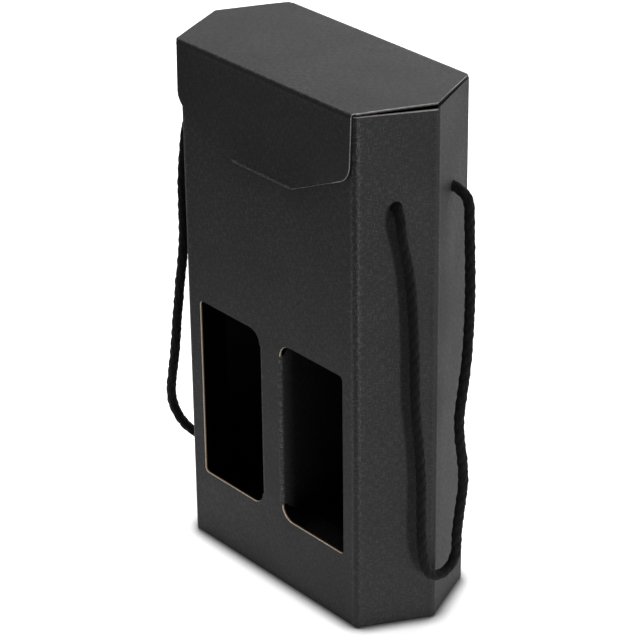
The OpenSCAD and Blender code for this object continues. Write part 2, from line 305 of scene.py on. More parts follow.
def board_plies():
    """Cut edge of fine-flute board: pale facing, brown liner, flutes darkened as painted shade with painted
    shade in their hollows, dark inner liner.
    """
    n, inputs, out = new_group(
        "board_plies",
        [("Along", "Float"), ("Depth", "Float")],
        [("Color", "Color"), ("Height", "Float")],
    )
    along, depth = inputs["Along"], inputs["Depth"]
    fuzz = n.noise(n.joined(along, n.times(depth, BOARD * MM)), 1400.0, detail=3.0, roughness=0.65)
    plies = n.ramp(n.math("ADD", depth, n.spread(fuzz, 0.2, 0.8, -0.2, 0.2)), PLY_STOPS)
    core = n.times(n.spread(depth, 0.4, 0.55), n.spread(depth, 0.95, 0.8))
    flutes = n.math("SINE", n.times(along, 2 * math.pi / FLUTE_PITCH))
    hollows = n.times(core, n.spread(flutes, -0.2, 0.8))
    torn = n.mix(n.spread(fuzz, 0.45, 0.8, 0.0, 0.25), plies, TORN_FIBRE)
    # Painted shade in the flute hollows
    colour = n.mix(n.times(hollows, 0.6), torn, FLUTE_HOLLOW_SHADE)
    n.fill(out, Color=colour, Height=n.math("SUBTRACT", fuzz, hollows))
    return n.tree


LINEN, RUB_AND_HIGHLIGHT, PLIES = linen_emboss(), rub_and_painted_highlight(), board_plies()


# Materials

def printed_board(name, coordinates, creased):
    """Black print on the outside of the board, with painted shade on the emboss's sunk threads, painted
    highlight on its raised threads, and rub with painted highlight along creases.
    """
    material, n, shader = new_material(name)
    sheet, crease = n.place(coordinates), n.layer("crease") if creased else 0.0
    linen = n.group(LINEN, Sheet=sheet, Pitch=LINEN_PITCH, Slub_Length=SLUB_LENGTH)
    rub_and_highlight = n.group(RUB_AND_HIGHLIGHT, Sheet=sheet, Crease=crease, Raised=linen["Raised"])
    # Sunk threads darker and raised threads lighter: painted shade and painted highlight of the emboss
    colour = n.mix(linen["Raised"], PRINT_SUNK_SHADE, PRINT_RAISED_HIGHLIGHT)
    clouded = n.mix(n.times(rub_and_highlight["Cloud"], 0.5), colour, PRINT_CLOUDED)
    rough = n.spread(linen["Height"], 0.0, 1.0, 0.64, 0.52)
    n.fill(
        shader,
        # Rub and painted highlight lighten the print along creases, folds and the ridge
        Base_Color=n.mix(rub_and_highlight["Rub"], clouded, PRINT_RUB_HIGHLIGHT),
        Roughness=n.math("ADD", rough, n.times(rub_and_highlight["Cloud"], 0.06)),
        Specular_IOR_Level=0.34,
        Normal=n.bump(linen["Height"], 0.4, LINEN_RELIEF),
    )
    return material, n, shader


def plain_liner():
    """Black inside of the board: smoother than the print, and cloudy."""
    material, n, shader = new_material("inside_liner")
    sheet = n.place("Object")
    fibre = n.noise(sheet, 900.0, detail=4.0, roughness=0.6, flat=False)
    cloud = n.noise(sheet, 30.0, detail=3.0, flat=False)
    n.fill(
        shader,
        Base_Color=n.mix(n.spread(cloud, 0.3, 0.7), LINER_DARK, LINER_PALE),
        Roughness=n.spread(fibre, 0.3, 0.7, 0.62, 0.74),
        Specular_IOR_Level=0.1,
        Normal=n.bump(fibre, 0.2, LINER_RELIEF),
    )
    return material


def cut_edge(name, saturation, value):
    """Raw cut edge of a sheet; its sheet coordinates run along the cut and through the board."""
    material, n, shader = new_material(name)
    place = n.split(n.place("UV"))
    plies = n.group(PLIES, Along=place["X"], Depth=n.math("DIVIDE", place["Y"], BOARD * MM))
    tint = n.add("HueSaturation")
    n.fill(tint.inputs, Saturation=saturation, Value=value, Color=plies["Color"])
    n.fill(
        shader,
        Base_Color=tint.outputs["Color"],
        Roughness=0.85,
        Specular_IOR_Level=0.15,
        Normal=n.bump(plies["Height"], 0.5, EDGE_RELIEF),
    )
    return material


def crushed_rim():
    """Printed paper crushed grey by the knife."""
    material, n, shader = new_material("crushed_rim")
    wear = n.noise(n.place("UV"), 450.0, detail=4.0, roughness=0.65)
    n.fill(
        shader,
        Base_Color=n.mix(n.spread(wear, 0.3, 0.75), RIM_DARK, RIM_PALE),
        Roughness=n.spread(wear, 0.3, 0.7, 0.7, 0.85),
        Specular_IOR_Level=0.2,
    )
    return material


def base_board():
    """Base flaps: print on their faces, raw board on their cut sides."""
    material, n, shader = printed_board("printed_base", "Object", creased=False)
    normal = n.split(n.add("NewGeometry").outputs["True Normal"])
    steep = n.spread(n.math("ABSOLUTE", normal["Z"]), 0.55, 0.45)
    place = n.split(n.place("Object"))
    depth = n.math("FRACT", n.math("DIVIDE", place["Z"], BOARD * MM))
    plies = n.group(PLIES, Along=n.math("ADD", place["X"], place["Y"]), Depth=depth)
    face_colour = shader["Base Color"].links[0].from_socket
    n.fill(shader, Base_Color=n.mix(steep, face_colour, plies["Color"]))
    return material


def twisted_cord():
    """Black spun cord: fine fibres laid along each strand, with painted shade in the grooves between
    strands.
    """
    material, n, shader = new_material("black_twisted_cord")
    sheet = n.place("UV")
    fibre = n.noise(n.scaled(sheet, FIBRE_RATES), 1.0, detail=3.0, roughness=0.65)
    lint = n.noise(sheet, 700.0, detail=3.0, roughness=0.7)
    groove_shade = n.layer("groove_shade")
    yarn = n.mix(n.spread(fibre, 0.3, 0.75), YARN_DARK, YARN_PALE)
    n.fill(
        shader,
        # Darker in the grooves between strands: painted shade
        Base_Color=n.mix(n.times(groove_shade, 0.75), yarn, YARN_GROOVE_SHADE),
        Roughness=n.spread(lint, 0.3, 0.7, 0.7, 0.9),
        Specular_IOR_Level=0.14,
        Sheen_Weight=0.03,
        Sheen_Roughness=0.5,
        Normal=n.bump(n.math("ADD", fibre, n.times(lint, 0.5)), 0.6, CORD_RELIEF),
    )
    return material


PRINT = printed_board("printed_linen", "UV", creased=True)[0]
LINER, BASE, CORD, RIM = plain_liner(), base_board(), twisted_cord(), crushed_rim()
RAW_EDGE = cut_edge("raw_board_edge", saturation=1.0, value=1.0)
# Cut edges greyed and darkened as painted shade, at the lid's front and at the wall tops under the lid
SHADE_PAINTED_EDGE = cut_edge("board_edge_painted_shade", saturation=0.15, value=0.45)


# Meshes and relief

def finished(name, mesh, materials):
    """Object made from a mesh that is complete."""
    data = bpy.data.meshes.new(name)
    bmesh.ops.recalc_face_normals(mesh, faces=mesh.faces[:])
    mesh.to_mesh(data)
    mesh.free()
    for material in materials:
        data.materials.append(material)
    return in_scene(name, data)


def bell(away, reach):
    """1 in the middle of a bead, groove or rub, fading out over its reach."""
    return math.exp(-(away / reach) ** 2)


# Cords and knots

LAY, STRANDS, STRAND_GROOVE, STRAND_ROUND = 24.0, 3, 0.2, 3.6
YARN_PITCH, YARN_HEIGHT, YARN_SLANT = 3.1, 0.13, 1.7
RING_STEP, RING_SIDES, CURVE_STEPS = 0.6, 36, 16

# Radius added because the grooves and yarns lie below the crown of a strand
GROOVE_ALLOWANCE = 0.15

# Slow swells of the cord: share of the radius, radians per millimetre and start
SWELLS = ((0.012, 0.37, 0.0), (0.01, 0.113, 1.0))

# Loose fibres: height, and how fast they change along the cord and round it
FUZZ, FUZZ_RATES = 0.11, ((91.7, 13), (37.3, -29))

# A heading along which no cord starts
SIDE_HINT = (0.3, 0.2, 0.93)


def smooth_route(points, step):
    """Even points on a centripetal curve through the route's points."""
    p = np.array(points, float)
    p = np.vstack([2 * p[0] - p[1], p, 2 * p[-1] - p[-2]])
    dense = []
    for a, b, c, d in zip(p, p[1:], p[2:], p[3:]):
        t1 = np.linalg.norm(b - a) ** 0.5
        t2 = t1 + np.linalg.norm(c - b) ** 0.5
        t3 = t2 + np.linalg.norm(d - c) ** 0.5
        for t in np.linspace(t1, t2, CURVE_STEPS, endpoint=False):
            ab = ((t1 - t) * a + t * b) / t1
            bc = ((t2 - t) * b + (t - t1) * c) / (t2 - t1)
            cd = ((t3 - t) * c + (t - t2) * d) / (t3 - t2)
            abc = ((t2 - t) * ab + t * bc) / t2
            bcd = ((t3 - t) * bc + (t - t1) * cd) / (t3 - t1)
            dense.append(((t2 - t) * abc + (t - t1) * bcd) / (t2 - t1))
    dense = np.array(dense + [p[-2]])
    run = np.concatenate([[0], np.cumsum(np.linalg.norm(np.diff(dense, axis=0), axis=1))])
    even = np.linspace(0, run[-1], max(3, round(run[-1] / step) + 1))
    return np.stack([np.interp(even, run, dense[:, k]) for k in range(3)], axis=1), run[-1]


def strand_profile(run, angle, radius):
    """Radius of the laid cord at a run along it and an angle round it, and how deep that is in a groove."""
    turn = (angle / (2 * math.pi) - run / LAY) * STRANDS
    within = turn % 1.0 - 0.5
    crown = math.sqrt(1 - STRAND_ROUND * within * within)
    yarn = math.cos(2 * math.pi * (run / YARN_PITCH + YARN_SLANT * within))
    swell = 1 + sum(share * math.sin(run * rate + start) for share, rate, start in SWELLS)
    fuzz = FUZZ
    for run_rate, angle_rate in FUZZ_RATES:
        fuzz *= math.sin(run * run_rate + angle * angle_rate)
    strand = radius * swell * (1 - STRAND_GROOVE * (1 - crown))
    return strand + YARN_HEIGHT * (yarn * crown - 1) + fuzz, 1 - crown


def cord_rings(mesh, uv, groove_shade, path, radius):
    """Adds one laid cord along the path, closed at both ends."""
    heading = np.gradient(path, axis=0)
    heading /= np.linalg.norm(heading, axis=1)[:, None]
    side = np.cross(heading[0], SIDE_HINT)
    step = np.linalg.norm(path[1] - path[0])
    rings = []
    for i, (point, ahead) in enumerate(zip(path, heading)):
        side = side - ahead * side.dot(ahead)
        side /= np.linalg.norm(side)
        across = np.cross(ahead, side)
        ring = []
        for k in range(RING_SIDES):
            angle = 2 * math.pi * k / RING_SIDES
            r, deep = strand_profile(i * step, angle, radius)
            vert = mesh.verts.new((point + r * (math.cos(angle) * side + math.sin(angle) * across)) * MM)
            vert[groove_shade] = deep
            ring.append(vert)
        rings.append(ring)
    girth_step = 2 * math.pi * radius / RING_SIDES
    for i, (low, high) in enumerate(zip(rings, rings[1:])):
        for k in range(RING_SIDES):
            m = (k + 1) % RING_SIDES
            face = mesh.faces.new((low[k], low[m], high[m], high[k]))
            face.smooth = True
            corners = ((k, i), (k + 1, i), (k + 1, i + 1), (k, i + 1))
            for loop, (round_cord, along) in zip(face.loops, corners):
                loop[uv].uv = (along * step * MM, round_cord * girth_step * MM)
    mesh.faces.new(list(reversed(rings[0])))
    mesh.faces.new(rings[-1])


def cord_object(name, runs, radius):
    mesh = bmesh.new()
    uv = mesh.loops.layers.uv.new("UVMap")
    groove_shade = mesh.verts.layers.float.new("groove_shade")
    for path in runs:
        cord_rings(mesh, uv, groove_shade, path, radius)
    return finished(name, mesh, [CORD])


KNOT_GAP, KNOT_REACH, KNOT_LENGTH, TAIL, KNOT_CORD_R = 1.2, 1.42, 10.0, 4.0, 2.7
KNOT_STEPS, TAIL_STEPS, KNOT_TURN = 120, 24, 0.4


def knot_object(name, end, side):
    """A tight overhand knot inside a side panel, with its cut tail."""
    hole = Vector((end * (HALF_W + POINT_OUT / 2), side * HALF_D / 2, HOLE_Z))
    inward = -Vector((end * HALF_D, side * POINT_OUT, 0)).normalized()
    up = Vector((0, 0, 1))
    across = up.cross(inward)
    seat = hole + inward * (BOARD + KNOT_GAP)
    centre = seat + inward * KNOT_LENGTH / 2
    loops = []
    for k in range(KNOT_STEPS + 1):
        t = 2 * math.pi * k / KNOT_STEPS + KNOT_TURN
        x, y = math.sin(t) + 2 * math.sin(2 * t), math.cos(t) - 2 * math.cos(2 * t)
        rise = -math.sin(3 * t) * (KNOT_LENGTH / 2 - KNOT_CORD_R)
        loops.append(centre + KNOT_REACH * (across * x + up * y) + inward * rise)
    tail = [seat + inward * (KNOT_LENGTH + TAIL) * k / TAIL_STEPS for k in range(TAIL_STEPS + 1)]
    runs = [np.array([tuple(p) for p in run]) for run in (loops, tail)]
    return cord_object(name, runs, KNOT_CORD_R)


def add_handle(end_name, end, route):
    path, length = smooth_route(route, RING_STEP)
    rope = cord_object(end_name + "_rope_handle", [path], CORD_D / 2 + YARN_HEIGHT + GROOVE_ALLOWANCE)
    for side_name, side in (("front", -1), ("back", 1)):
        knot = knot_object(f"{end_name}_{side_name}_stop_knot", end, side)
        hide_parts(f"{end_name}_{side_name}_knot")
        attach(knot, "carton")
    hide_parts(end_name + "_cord")
    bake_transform(rope)


add_handle("right", 1, RIGHT_ROUTE)
add_handle("left", -1, LEFT_ROUTE)


# Sheets of board

ARC_STEPS = 8
SHEET_MARGIN, WELD, TOUCH, ROUNDING = 1.0, 1e-4, 0.01, 1e-9

# Finishes of a sheet by material slot: its two faces, a raw cut edge, a cut edge greyed and darkened as
# painted shade, and the crushed rim
PRINTED, LINED, RAW, SHADE_CUT, CRUSHED = range(5)
RIM_DOWN, BROAD_RIM, WORN_RIM, CLEAN_RIM = 0.2, 0.62, 0.42, 0.12

# Limits that keep the print's edge from crossing itself as it draws back
CORNER_LIMIT, UNFOLD_PASSES, LEAST_AREA, INSET_SHRINK = 0.6, 8, 0.1, 0.6


def rounded(points, radii):
    """Outline with a radius at each corner, or none."""
    out = []
    for i, radius in enumerate(radii):
        corner = Vector(points[i])
        if not radius:
            out.append(tuple(corner))
            continue
        a = (Vector(points[i - 1]) - corner).normalized()
        b = (Vector(points[(i + 1) % len(points)]) - corner).normalized()
        half = a.angle(b) / 2
        centre = corner + (a + b).normalized() * radius / math.sin(half)
        start = corner + a * radius / math.tan(half) - centre
        end = corner + b * radius / math.tan(half) - centre
        first = math.atan2(start.y, start.x)
        sweep = (math.atan2(end.y, end.x) - first + math.pi) % (2 * math.pi) - math.pi
        for k in range(ARC_STEPS + 1):
            angle = first + sweep * k / ARC_STEPS
            out.append((centre.x + radius * math.cos(angle), centre.y + radius * math.sin(angle)))
    return out


def mirrored(points):
    """An outline from its right half, bottom to top."""
    return points + [(-x, t) for x, t in reversed(points)]


def both_sides(*distances):
    """Places left and right of the middle."""
    return sorted({sign * x for x in distances for sign in (-1, 1)})


def inside(point, outline):
    x, y = point
    odd = False
    for (ax, ay), (bx, by) in zip(outline, outline[1:] + outline[:1]):
        if (ay > y) != (by > y) and x < (bx - ax) * (y - ay) / (by - ay) + ax:
            odd = not odd
    return odd


def cut_flat(outline, holes, columns, rows):
    """Points and triangles of a flat sheet, split along its columns and rows so that it can bend there."""
    points, edges = [], []
    for loop in [outline] + holes:
        first = len(points)
        points += loop
        edges += [(first + i, first + (i + 1) % len(loop)) for i in range(len(loop))]
    low_s, low_t = (min(p[k] for p in outline) - SHEET_MARGIN for k in (0, 1))
    high_s, high_t = (max(p[k] for p in outline) + SHEET_MARGIN for k in (0, 1))
    splits = [((s, low_t), (s, high_t)) for s in columns] + [((low_s, t), (high_s, t)) for t in rows]
    for split in splits:
        points += split
        edges.append((len(points) - 2, len(points) - 1))
    flat, _, triangles, *_ = delaunay_2d_cdt([Vector(p) for p in points], edges, [], 0, WELD)
    kept = []
    for triangle in triangles:
        middle = sum((flat[i] for i in triangle), Vector((0, 0))) / len(triangle)
        if inside(middle, outline) and not any(inside(middle, hole) for hole in holes):
            kept.append(triangle)
    return flat, kept


def rim_insets(flat, cuts, rim):
    """Which way and how far the printed face draws back from the knife at each point of a cut."""
    pulls = {}
    for a, b, third in cuts:
        run = flat[b] - flat[a]
        inward = Vector((-run.y, run.x)).normalized()
        if inward.dot(flat[third] - flat[a]) < 0:
            inward = -inward
        for i in (a, b):
            pulls.setdefault(i, []).append(inward)
    insets = {}
    for i, sides in pulls.items():
        both = sum(sides, Vector((0, 0)))
        insets[i] = both * rim(*flat[i]) / max(CORNER_LIMIT, both.dot(sides[0]))
    return insets


def keep_unfolded(flat, triangles, insets):
    """Shortens insets that would turn a thin triangle over."""
    def double_area(spots):
        a, b, c = spots
        return (b - a).cross(c - a)

    for _ in range(UNFOLD_PASSES):
        for triangle in triangles:
            before = double_area([flat[i] for i in triangle])
            after = double_area([flat[i] + insets.get(i, Vector((0, 0))) for i in triangle])
            if after * before < LEAST_AREA * before * before:
                for i in triangle:
                    if i in insets:
                        insets[i] = insets[i] * INSET_SHRINK


def board_sheet(
    name, outline, holes, place, columns, rows, crease, joined,
    # By default a cut side takes the black liner: painted shade where the board's core would show
    core=lambda s, t: LINED, rim_in=lambda s, t: CLEAN_RIM,
):
    """A sheet of board: cut to an outline with holes, then folded by place(s, t, depth).

    crease(s, t) is the rub and painted highlight. Borders where joined(s, t) holds run on into another
    piece or are pressed shut; the others are cut edges with the finish core(s, t), from which the print
    draws back by rim_in(s, t).
    """
    flat, triangles = cut_flat(outline, holes, columns, rows)
    thirds = {}
    for a, b, c in triangles:
        thirds.update({(a, b): c, (b, c): a, (c, a): b})
    border = [pair for pair in thirds if (pair[1], pair[0]) not in thirds]
    cuts = [(a, b, thirds[a, b]) for a, b in border if not (joined(*flat[a]) and joined(*flat[b]))]
    insets = rim_insets(flat, cuts, rim_in)
    keep_unfolded(flat, triangles, insets)

    mesh = bmesh.new()
    uv = mesh.loops.layers.uv.new("UVMap")
    worn = mesh.verts.layers.float.new("crease")

    def vert_at(spot, depth):
        return mesh.verts.new(Vector(place(spot.x, spot.y, depth)) * MM)

    def add_face(verts, places, material_index):
        face = mesh.faces.new(verts)
        face.material_index = material_index
        for loop, spot in zip(face.loops, places):
            loop[uv].uv = Vector(spot) * MM
        return face

    outer, inner, rim = {}, {}, {}
    for i in sorted({i for triangle in triangles for i in triangle}):
        outer[i] = vert_at(flat[i] + insets.get(i, Vector((0, 0))), 0.0)
        outer[i][worn] = crease(flat[i].x, flat[i].y)
        inner[i] = vert_at(flat[i], BOARD)
        if i in insets:
            rim[i] = vert_at(flat[i], RIM_DOWN)
    for triangle in triangles:
        for index, layer in ((PRINTED, outer), (LINED, inner)):
            face = add_face([layer[i] for i in triangle], [flat[i] for i in triangle], index)
            face.smooth = True
    cut_pairs = {(a, b) for a, b, _ in cuts}
    for a, b in border:
        run_a, run_b = flat[a].x + flat[a].y, flat[b].x + flat[b].y
        sides = []
        if (a, b) in cut_pairs:
            finish = core(*(flat[a] + flat[b]) / 2)
            rim_finish = RAW if finish == RAW else CRUSHED
            strips = ((outer, 0.0, rim, RIM_DOWN, rim_finish), (rim, RIM_DOWN, inner, BOARD, finish))
            for high, top, low, bottom, index in strips:
                places = ((run_b, top), (run_a, top), (run_a, bottom), (run_b, bottom))
                sides.append(add_face((high[b], high[a], low[a], low[b]), places, index))
        else:
            ring = [outer[b], outer[a], rim.get(a), inner[a], inner[b], rim.get(b)]
            ring = [vert for vert in ring if vert]
            sides.append(add_face(ring, [(run_a, 0.0)] * len(ring), PRINTED))
        for face in sides:
            for edge in face.edges:
                edge.smooth = False
    piece = finished(name, mesh, [PRINT, LINER, RAW_EDGE, SHADE_PAINTED_EDGE, RIM])
    return piece


# Folds

FOLD_RUB_REACH, FOLD_RUB_FALL = 3.2, 1.3


def fold_path(straight, radius, run):
    """Along a sheet that runs straight and folds through a right angle: forward, sideways, heading."""
    if run <= straight:
        return run, 0.0, 0.0
    angle = min((run - straight) / radius, math.pi / 2)
    forward, sideways = straight + radius * math.sin(angle), radius * (1 - math.cos(angle))
    return forward, sideways + max(0.0, run - straight - radius * math.pi / 2), angle


def fold_lines(straight, radius):
    """Where a sheet is split so that its fold is round."""
    return [straight + radius * math.pi / 2 * k / ARC_STEPS for k in range(ARC_STEPS + 1)]


def fold_rub_and_highlight(run, middle, reach=FOLD_RUB_REACH):
    """Rub and painted highlight on a fold, most along its middle."""
    return max(0.0, 1 - abs(run - middle) / reach) ** FOLD_RUB_FALL


# Walls

CORNERS = [
    (-HALF_W, HALF_D), (-HALF_W - POINT_OUT, 0), (-HALF_W, -HALF_D),
    (HALF_W, -HALF_D), (HALF_W + POINT_OUT, 0), (HALF_W, HALF_D), (-HALF_W, HALF_D),
]
FRONT_LEFT, FRONT_RIGHT = 2 * SIDE_W, 2 * SIDE_W + 2 * HALF_W
LEFT_POINT, RIGHT_POINT, BACK_RIGHT = SIDE_W, FRONT_RIGHT + SIDE_W, FRONT_RIGHT + 2 * SIDE_W
CREASES = [0.0, LEFT_POINT, FRONT_LEFT, FRONT_RIGHT, RIGHT_POINT, BACK_RIGHT]
GIRTH = 4 * SIDE_W + 4 * HALF_W
FRONT_MIDDLE = 2 * SIDE_W + HALF_W
HOLES_S = [CREASES[i] + SIDE_W / 2 for i in (0, 1, 3, 4)]
HOLE_STEPS = 16

# Relief of an upright crease: a groove with a bead at each side
CREASE_GROOVE, GROOVE_WIDTH = 0.25, 0.75
CREASE_BEAD, BEAD_AWAY, BEAD_WIDTH = 0.2, 2.2, 0.9

# Board left where a wall rounds into the base
LEAST_BOARD = 0.2

# Rub and painted highlight on the beads and beside them, its share at the points and at the foot, and
# lighter raised threads across the middle of each side panel
BEAD_RUB_AND_HIGHLIGHT, BEAD_RUB_REACH, SIDE_RUB_AND_HIGHLIGHT, SIDE_RUB_REACH = 0.5, 1.05, 0.2, 5.0
POINT_SHARE, FOOT_SHARE, FULL_RUB_Z, SIDE_MIDDLE_LIGHTENING = 0.12, 0.15, 240.0, 0.2

TOP_SLOPE = 0.7
WINDOW_FOLD_LEAD = 0.5
WINDOW_FOLD_START = PILLAR_HALF - WINDOW_FOLD_R - WINDOW_FOLD_LEAD
CREASE_COLUMNS = (0.0, 0.3, 0.6, 1.0, 1.4, 1.8, 2.2, 2.6, 3.1, 3.8, 5.0)
WALL_ROWS = [
    0.25, 0.6, 1.0, BASE_FOLD_R, 4.0, 24.0, 46.0, 75.0,
    109.0, 143.0, 172.0, 200.0, 230.0, 262.0, 300.0, 326.0,
]


def wall_frames():
    """Start, heading, outward side and length of each wall, from the back left corner by the front."""
    walls = []
    for a, b in zip(CORNERS, CORNERS[1:]):
        start = Vector(a)
        run = Vector(b) - start
        ahead = run.normalized()
        walls.append((start, ahead, Vector((ahead.y, -ahead.x)), run.length))
    return walls


WALLS = wall_frames()


def crease_distance(s):
    return min(min(abs(s - c), GIRTH - abs(s - c)) for c in CREASES)


def crease_rub_and_highlight(s, t):
    """Rub and painted highlight along the upright creases, least at the points and the foot, and lighter
    raised threads across the middle of each side panel.
    """
    away = crease_distance(s)
    from_point = min(abs(s - LEFT_POINT), abs(s - RIGHT_POINT))
    share = POINT_SHARE if from_point < SIDE_W / 2 else 1.0
    share *= FOOT_SHARE + (1 - FOOT_SHARE) * min(1.0, t / FULL_RUB_Z)
    creases = BEAD_RUB_AND_HIGHLIGHT * bell(away - BEAD_AWAY, BEAD_RUB_REACH) + SIDE_RUB_AND_HIGHLIGHT * bell(away, SIDE_RUB_REACH)
    return share * creases + SIDE_MIDDLE_LIGHTENING * math.sin(math.pi * min(1.0, from_point / SIDE_W))


def on_walls(s, t, depth):
    """Wrap of the six walls, rounded at the upright creases and at the folds into the base."""
    index = max(i for i, c in enumerate(CREASES) if c <= s + ROUNDING)
    start, ahead, out, length = WALLS[index]
    local = s - CREASES[index]
    if local < length / 2:
        corner, to_corner, side, next_wall = start, local, -ahead, WALLS[index - 1]
    else:
        corner, to_corner, side = start + ahead * length, length - local, ahead
        next_wall = WALLS[(index + 1) % len(WALLS)]
    next_out = next_wall[2]
    turn = abs(out.angle(next_out))
    reach = UPRIGHT_R * math.tan(turn / 2)
    if to_corner < reach:
        swing = turn / 2 * (reach - to_corner) / reach
        centre = corner - (out + next_out).normalized() * UPRIGHT_R / math.cos(turn / 2)
        facing = out * math.cos(swing) + side * math.sin(swing)
        point = centre + facing * UPRIGHT_R
    else:
        facing, point = out, start + ahead * local
    away = crease_distance(s)
    score = CREASE_BEAD * bell(away - BEAD_AWAY, BEAD_WIDTH) - CREASE_GROOVE * bell(away, GROOVE_WIDTH)
    lift = BASE_FOLD_R - t
    tuck = BASE_FOLD_R - math.sqrt(max(0.0, BASE_FOLD_R ** 2 - lift ** 2)) if lift > 0 else 0.0
    sunk = min(tuck, BOARD - LEAST_BOARD) - score if depth == 0 else depth
    placed = point - facing * sunk
    return placed.x, placed.y, t


def window_hole(end):
    """Opening in the front panel; its fold at the pillar belongs to the window's flap."""
    far = PILLAR_HALF + WINDOW_W
    corners = [(PILLAR_HALF, WINDOW_LOW), (far, WINDOW_LOW), (far, WINDOW_HIGH), (PILLAR_HALF, WINDOW_HIGH)]
    outline = rounded(corners, (WINDOW_INNER_R, WINDOW_OUTER_R, WINDOW_OUTER_R, WINDOW_INNER_R))
    outline.append((WINDOW_FOLD_START, WINDOW_HIGH - WINDOW_INNER_R))
    outline.append((WINDOW_FOLD_START, WINDOW_LOW + WINDOW_INNER_R))
    return [(FRONT_MIDDLE + end * x, z) for x, z in outline]


def tongue_slot():
    side, low, high = FOLD_HALF + SLOT_CLEAR, FOLD_Z - SLOT_CLEAR, FOLD_Z + BOARD + SLOT_CLEAR
    corners = ((-side, low), (side, low), (side, high), (-side, high))
    return [(FRONT_MIDDLE + x, z) for x, z in corners]


def round_hole(s):
    turns = [k * math.pi / HOLE_STEPS for k in range(2 * HOLE_STEPS)]
    return [(s + HOLE_R * math.cos(turn), HOLE_Z + HOLE_R * math.sin(turn)) for turn in turns]


def wall_runs_on(s, t):
    """Folds into the base, the lid and the window flaps, tops under the lid, and cord holes, whose cut
    sides are drawn in black print as painted shade.
    """
    at_base = t < TOUCH
    at_lid = t > BACK_TOP - TOUCH and not LEFT_POINT < s < RIGHT_POINT
    low, high = WINDOW_LOW + WINDOW_INNER_R - TOUCH, WINDOW_HIGH - WINDOW_INNER_R + TOUCH
    at_pillar = abs(s - FRONT_MIDDLE) < PILLAR_HALF + TOUCH and low < t < high
    # Cord holes' cut sides in black print: painted shade
    in_cord_hole = any(math.hypot(s - c, t - HOLE_Z) < HOLE_R + TOUCH for c in HOLES_S)
    return at_base or at_lid or at_pillar or in_cord_hole


def add_walls():
    outline = [
        (0, 0), (GIRTH, 0), (GIRTH, BACK_TOP), (BACK_RIGHT, BACK_TOP),
        (BACK_RIGHT, BACK_SIDE_TOP), (RIGHT_POINT, BACK_SIDE_TOP), (RIGHT_POINT, FRONT_TOP),
        (FRONT_RIGHT, FRONT_TOP + TOP_SLOPE), (FRONT_LEFT, FRONT_TOP + TOP_SLOPE),
        (LEFT_POINT, FRONT_TOP), (LEFT_POINT, BACK_SIDE_TOP), (0, BACK_SIDE_TOP),
    ]
    holes = [window_hole(1), window_hole(-1), tongue_slot()]
    holes += [round_hole(s) for s in HOLES_S]
    columns = sorted({c + d * sign for c in CREASES + [GIRTH] for d in CREASE_COLUMNS for sign in (-1, 1)})
    columns = [s for s in columns if 0 < s < GIRTH]

    def at_top(t):
        return t > FRONT_TOP - 1

    walls = board_sheet(
        "carton_walls", outline, holes, on_walls, columns, WALL_ROWS,
        crease=crease_rub_and_highlight, joined=wall_runs_on,
        # The wall tops' cut sides are darkened as painted shade under the lid; their broad pale rim is
        # crushed print and partly painted highlight
        core=lambda s, t: SHADE_CUT if at_top(t) else RAW,
        rim_in=lambda s, t: BROAD_RIM if at_top(t) else CLEAN_RIM,
    )
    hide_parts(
        "front_panel", "back_panel", "right_front_panel", "right_back_panel",
        "left_front_panel", "left_back_panel",
    )
    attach(walls, "carton")


# Lid

LID_TIP_SHORT, LID_TIP_R, LID_BACK_SHORT, LID_RIM = 0.6, 1.6, 1.2, 0.24
LID_TIP = HALF_W + POINT_OUT - LID_TIP_SHORT
LID_BACK_RUN = HEIGHT - LID_FOLD_R - BACK_TOP
LID_TOP_START = LID_BACK_RUN + LID_FOLD_R * math.pi / 2
LID_FRONT_Y = -43.6
LID_RISE, LID_DROOP, LID_CROWN = 0.9, 0.5, 1.1

# The points bend outside this x, over this run, and fully from this far in front of the back crease
BEND_X, BEND_RUN, BEND_IN = 60.0, 39.0, 30.0
LID_ROWS_Y = (30, 14, 0, -14, -30, -41)


def lid_lift(x):
    """The right point of the lid stands proud of its wall, and the left one droops."""
    right, left = (max(0.0, (out - BEND_X) / BEND_RUN) ** 2 for out in (x, -x))
    return LID_RISE * right - LID_DROOP * left


def lid_crown(x, y):
    return LID_CROWN * max(0.0, 1 - (y / HALF_D) ** 2) * max(0.0, 1 - (x / LID_TIP) ** 2)


def on_lid(x, t, depth):
    """Up the back panel, over the back crease and along the lid."""
    up, forward, angle = fold_path(LID_BACK_RUN, LID_FOLD_R, t)
    y = HALF_D - forward - math.cos(angle) * depth
    z = BACK_TOP + up - math.sin(angle) * depth
    return x, y, z + lid_lift(x) * min(1.0, forward / BEND_IN) + lid_crown(x, HALF_D - forward)


def lid_edge_x(y):
    return LID_TIP - (LID_TIP - HALF_W) * (y / HALF_D if y > 0 else y / FLAP_Y)


